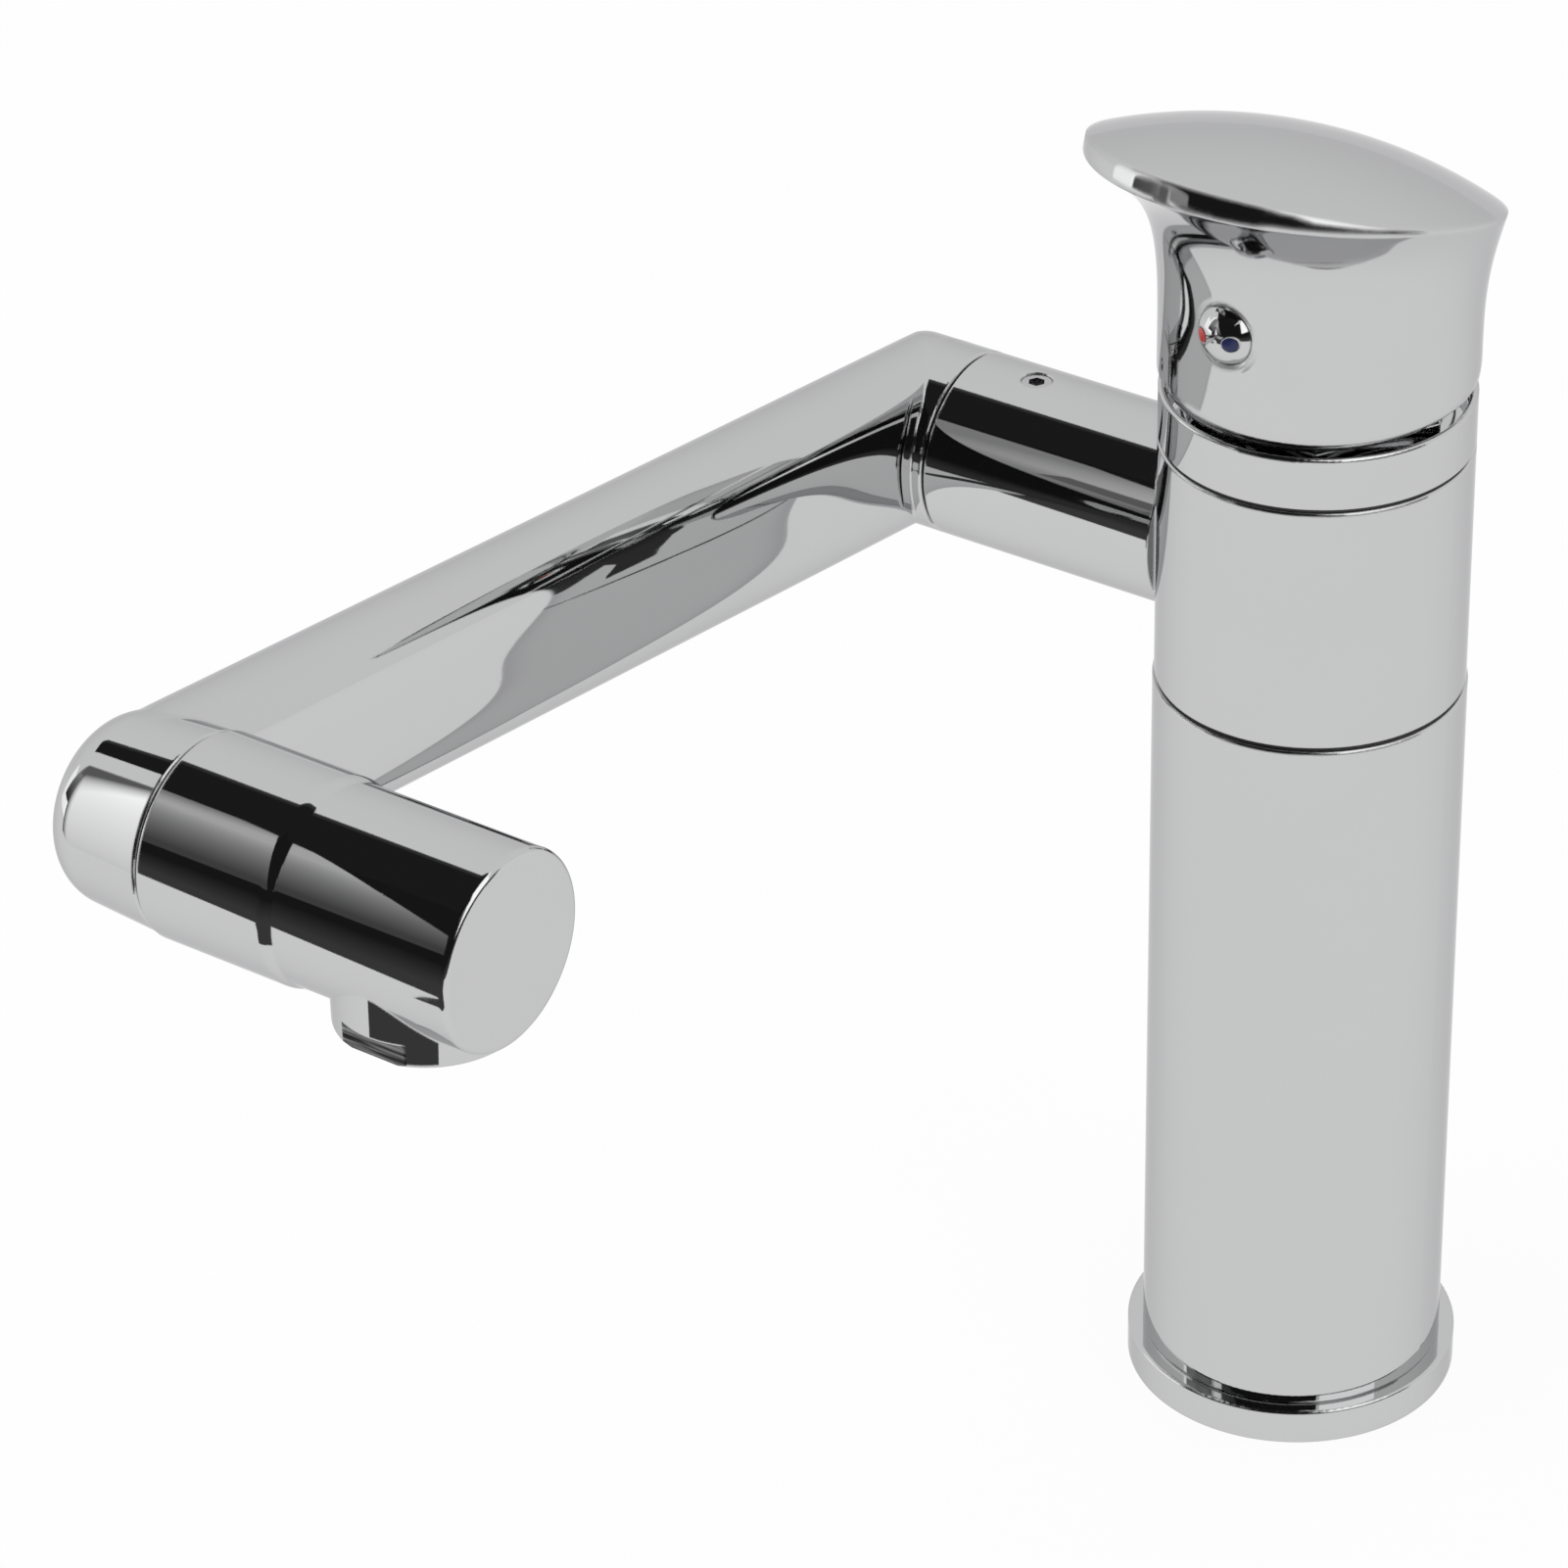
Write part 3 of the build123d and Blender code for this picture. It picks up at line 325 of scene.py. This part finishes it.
def add_strip(vertices, faces, rows, closed):
    """Quads between rows of points, which join up at their ends where closed."""
    count = len(rows[0])
    start = len(vertices)
    for row in rows:
        vertices.extend(row)
    for low in range(len(rows) - 1):
        for place in range(count if closed else count - 1):
            after = (place + 1) % count
            first = start + low * count
            faces.append((first + place, first + after, first + count + after, first + count + place))


def add_turned(vertices, faces, centre, outline, steps=180):
    """Surface of revolution about a swivel's axis, from (radius, distance along +X) points."""
    rows = []
    for radius, reach in outline:
        row = []
        for step in range(steps):
            turned = 2 * pi * step / steps
            row.append(centre + Vector((reach, radius * cos(turned), radius * sin(turned))))
        rows.append(row)
    add_strip(vertices, faces, rows, True)


def rounded_corner(centre, radius, first, last, steps):
    """Arc of (radius, reach) points round a centre, between two angles in degrees."""
    angles = [radians(first + (last - first) * step / steps) for step in range(steps + 1)]
    return [(centre[0] + radius * cos(angle), centre[1] + radius * sin(angle)) for angle in angles]


def corner_round(across):
    """Rounding of the far corner's outer edge, which runs out at the arm's top and bottom."""
    return min(corner_round_most, max(-across, 0) * corner_round_share)


def arm_mesh():
    """Arm from its rounded far corner, past the boss on the stub, to the near elbow."""
    vertices, faces = [], []
    far_section = oval_section(arm_far_half_height)
    near_section = oval_section(arm_near_half_height)
    lengths = 24
    corner_steps = 10
    flat_steps = 6
    rows = [[
        far_elbow + Vector((across, 0, 0)) + arm_upward * upward
        - arm_direction * (sqrt(stub_radius ** 2 - upward ** 2) - corner_round(across))
        for across, upward in far_section
    ]]
    for step in range(lengths + 1):
        share = step / lengths
        rows.append([
            far_elbow + arm_direction * (arm_length * share)
            + Vector((far[0], 0, 0)) + arm_upward * (far[1] + (near[1] - far[1]) * share)
            for far, near in zip(far_section, near_section)
        ])
    add_strip(vertices, faces, rows, True)

    half = len(far_section) // 2
    corner_rows = []
    for across, upward in far_section[half // 2:half // 2 + half + 1]:
        back = sqrt(stub_radius ** 2 - upward ** 2)
        turned = corner_round(across)
        level = far_elbow + arm_upward * upward
        row = [
            level + Vector(((across + turned) * step / flat_steps, 0, 0)) - arm_direction * back
            for step in range(flat_steps)
        ]
        for step in range(corner_steps + 1):
            angle = pi / 2 * step / corner_steps
            row.append(
                level + Vector((across + turned * (1 - sin(angle)), 0, 0))
                - arm_direction * (back - turned * (1 - cos(angle)))
            )
        corner_rows.append(row)
    add_strip(vertices, faces, corner_rows, False)

    boss_face = 0.0106
    add_turned(vertices, faces, far_elbow, [
        (stub_radius, 0), (stub_radius, boss_face - edge_chamfer),
        (stub_radius - edge_chamfer, boss_face),
        (bore_radius, boss_face), (bore_radius, 0), (axis_radius, 0),
    ])
    elbow_face, elbow_radius, end_radius, end_reach = 0.01055, 0.01515, 0.01405, -0.0089
    end_round = 0.0075
    lean = (elbow_radius - end_radius) / (elbow_face - edge_chamfer - end_reach)
    flank = sqrt(1 + lean ** 2)
    centre_reach = end_reach + end_round
    centre_radius = end_radius + lean * end_round - end_round * flank
    last = -degrees(atan(lean))
    corner = rounded_corner((centre_radius, centre_reach), end_round, -90, last, 20)
    add_turned(vertices, faces, near_elbow, [(axis_radius, end_reach)] + corner + [
        (elbow_radius, elbow_face - edge_chamfer), (elbow_radius - edge_chamfer, elbow_face),
        (bore_radius, elbow_face), (bore_radius, 0), (axis_radius, 0),
    ])
    return vertices, faces


def fine_arm():
    """Arm's fine skin, which takes the place of its solid in the picture."""
    vertices, faces = arm_mesh()
    mesh = bpy.data.meshes.new("arm_skin")
    mesh.from_pydata([tuple(vertex) for vertex in vertices], [], faces)
    shape = bmesh.new()
    shape.from_mesh(mesh)
    bmesh.ops.recalc_face_normals(shape, faces=shape.faces)
    shape.to_mesh(mesh)
    shape.free()
    skin = bpy.data.objects.new("arm_skin", mesh)
    bpy.context.collection.objects.link(skin)
    mesh.materials.append(materials["chrome"])
    mesh.shade_smooth()
    mesh.set_sharp_from_angle(angle=radians(25))
    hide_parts("spout_arm")
    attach(skin, "arm")


fine_arm()


# Stage: white floor, cards that the chrome mirrors, and soft lamps
def sheet_object(name, corners, material):
    """Flat sheet between its corners, in metres."""
    mesh = bpy.data.meshes.new(name)
    mesh.from_pydata([tuple(corner) for corner in corners], [], [tuple(range(len(corners)))])
    mesh.materials.append(material)
    sheet = bpy.data.objects.new(name, mesh)
    bpy.context.collection.objects.link(sheet)
    return sheet


def floor_material():
    """Pale floor that keeps the object's shadow and shows white to the camera and in the metal."""
    material, tree, shader = new_material("white_floor")
    shader.inputs["Base Color"].default_value = (0.86, 0.86, 0.86, 1)
    shader.inputs["Roughness"].default_value = 0.7
    shader.inputs["Specular IOR Level"].default_value = 0.1
    paths = tree.nodes.new("ShaderNodeLightPath")
    seen = add_math(tree, "ADD", paths.outputs["Is Camera Ray"], paths.outputs["Is Glossy Ray"])
    white = tree.nodes.new("ShaderNodeEmission")
    white.inputs["Color"].default_value = (1, 1, 1, 1)
    mirrored = remap(tree, paths.outputs["Is Glossy Ray"], 0.0, 1.0, 1.0, 0.9)
    tree.links.new(mirrored, white.inputs["Strength"])
    mix = tree.nodes.new("ShaderNodeMixShader")
    share = remap(tree, seen, 0.0, 1.0, 0.0, 0.93)
    tree.links.new(share, mix.inputs["Fac"])
    tree.links.new(shader.outputs["BSDF"], mix.inputs[1])
    tree.links.new(white.outputs["Emission"], mix.inputs[2])
    output = tree.nodes["Material Output"]
    tree.links.new(mix.outputs["Shader"], output.inputs["Surface"])
    return material


def card_material(name, strength):
    """Card of one brightness, or of the product of (axis, from, to, low, high) fades in the frame."""
    material = bpy.data.materials.new(name)
    material.use_nodes = True
    tree = material.node_tree
    tree.nodes.remove(tree.nodes["Principled BSDF"])
    glow = tree.nodes.new("ShaderNodeEmission")
    glow.inputs["Color"].default_value = (1, 1, 1, 1)
    if isinstance(strength, float):
        glow.inputs["Strength"].default_value = strength
    else:
        place = tree.nodes.new("ShaderNodeNewGeometry")
        parts = tree.nodes.new("ShaderNodeSeparateXYZ")
        tree.links.new(place.outputs["Position"], parts.inputs["Vector"])
        level = None
        for axis, *fade in strength:
            value = remap(tree, parts.outputs[axis], *fade)
            level = add_math(tree, "MULTIPLY", level, value) if level else value
        tree.links.new(level, glow.inputs["Strength"])
    tree.links.new(glow.outputs["Emission"], tree.nodes["Material Output"].inputs["Surface"])
    return material


def card(name, corners, material):
    """Card that only mirrors see: no camera, no shade on the floor."""
    sheet = sheet_object(name, corners, material)
    sheet.visible_camera = False
    sheet.visible_diffuse = False
    sheet.visible_shadow = False
    sheet.visible_transmission = False


floor_half = 4.0
sheet_object("floor", [
    (-floor_half, -floor_half, 0), (floor_half, -floor_half, 0), (floor_half, floor_half, 0),
    (-floor_half, floor_half, 0),
], floor_material())

# Cards: dark ones in front, above and low on the right, bright ones on the left and the right
upper_level = 0.955
soft_left = -1.2
soft_edge = [(-0.6, 0.05), (-0.6, 0.4), (-0.66, 0.755), (-0.75, upper_level)]
front_left, front_y = -0.41, -0.643
front_turns = [(front_left, front_y), (-0.2, -0.452), (0.2, -0.62), (0.5, -0.9), (0.63, -0.5)]
front_card = card_material("front_card", (("Z", 0.08, 0.2, 0.055, 0.012),))
for index, (left, right) in enumerate(zip(front_turns, front_turns[1:])):
    card("front_card_%d" % index, [
        (*left, 0), (*right, 0), (*right, upper_level), (*left, upper_level),
    ], front_card)
card("low_card", [
    (x, y, 0.002)
    for x, y in [
        (-0.2, -0.452), (-0.165, -0.362), (-0.1, -0.384), (0, -0.397), (0.08, -0.389), (0.14, -0.371),
        (0.17, -0.4), (0.2, -0.62),
    ]
], front_card)
card("front_card_left", [
    (x, front_y, z) for x, z in [(front_left, 0), (-0.6, 0)] + soft_edge + [(front_left, upper_level)]
], front_card)
card("upper_card", [
    (-0.7, -0.95, upper_level), (0.5, -0.95, upper_level), (0.5, -0.4, upper_level),
    (0.2, -0.34, upper_level), (0.2, 0.041, upper_level), (-1.0, 0.041, upper_level),
    (-1.0, -0.2, upper_level), (-0.7, -0.26, upper_level),
], card_material("upper_card", (("Y", -0.03, 0.041, 0.015, 0.07),)))
card("soft_card", [
    (x, front_y, z) for x, z in [(soft_left, 0.05)] + soft_edge + [(soft_left, upper_level)]
], card_material("soft_card", 1.42))
card("left_card", [
    (soft_left, front_y, 0.05), (soft_left, -0.25, 0.05), (soft_left, -0.25, 0.6),
    (soft_left, front_y, 0.6),
], card_material("left_card", 1.3))

side_white = card_material("side_card", 1.5)
card("side_foot", [
    (0.63, -0.5, 0), (0.63, 0.25, 0), (0.63, 0.25, 0.34), (0.63, -0.5, 0.34),
], front_card)
card("side_card", [
    (0.62, -0.45, 0.35), (0.62, 0.1, 0.35), (0.62, 0.1, 0.9), (0.62, -0.45, 0.9),
], side_white)
card("side_top_card", [
    (0.62, -0.34, 0.9), (0.62, 0.1, 0.9), (0.22, 0.1, 0.96), (0.22, -0.34, 0.96),
], side_white)


def leaning_card(name, outline, material):
    """Card near the object that leans forward, from its outline of (x, z) points."""
    foot_y, foot_z, lean = -0.277, 0.216, -0.055 / 0.31
    card(name, [(x, foot_y + (z - foot_z) * lean, z) for x, z in outline], material)


# Two small cards beside the arm: a dim strip for its swivels and a bright one for its near elbow
leaning_card("strip_card", [
    (-0.45, 0.2), (-0.04, 0.205), (-0.115, 0.301), (-0.2, 0.417), (-0.27, 0.5), (-0.29, 0.526),
    (-0.45, 0.526),
], card_material("strip_card", (("Z", 0.212, 0.33, 0.07, 0.55), ("X", -0.27, -0.19, 0.5, 1.0))))
card("elbow_card", [
    (-0.145, -0.24, 0.165), (-0.092, -0.24, 0.165), (-0.092, -0.24, 0.2), (-0.112, -0.24, 0.235),
    (-0.15, -0.24, 0.285), (-0.175, -0.24, 0.285), (-0.175, -0.24, 0.252), (-0.145, -0.24, 0.245),
], card_material("elbow_card", (("Z", 0.165, 0.235, 0.85, 1.4), ("X", -0.142, -0.118, 0.1, 1.0))))


def lamp(name, place, target, size, power):
    """Soft square lamp that shines from its place to its target."""
    data = bpy.data.lights.new(name, "AREA")
    data.shape = "SQUARE"
    data.size = size
    data.energy = power
    light = bpy.data.objects.new(name, data)
    bpy.context.collection.objects.link(light)
    light.location = place
    aim = Vector(target) - Vector(place)
    light.rotation_euler = aim.to_track_quat("-Z", "Y").to_euler()
    light.visible_glossy = False
    light.visible_camera = False


lamp("key_lamp", (-1.0, -0.9, 1.6), (0, -0.05, 0.1), 1.2, 12.0)
lamp("fill_lamp", (1.3, -0.4, 1.4), (0, -0.05, 0.1), 1.2, 6.0)

world = bpy.data.worlds.new("studio")
bpy.context.scene.world = world
world.use_nodes = True
sky_tree = world.node_tree
background = sky_tree.nodes["Background"]
background.inputs["Color"].default_value = (1, 1, 1, 1)
sky_paths = sky_tree.nodes.new("ShaderNodeLightPath")
sky_mirrored = remap(sky_tree, sky_paths.outputs["Is Glossy Ray"], 0.0, 1.0, 0.75, 0.82)
sky_seen = add_math(sky_tree, "MAXIMUM", sky_mirrored, sky_paths.outputs["Is Camera Ray"])
sky_tree.links.new(sky_seen, background.inputs["Strength"])
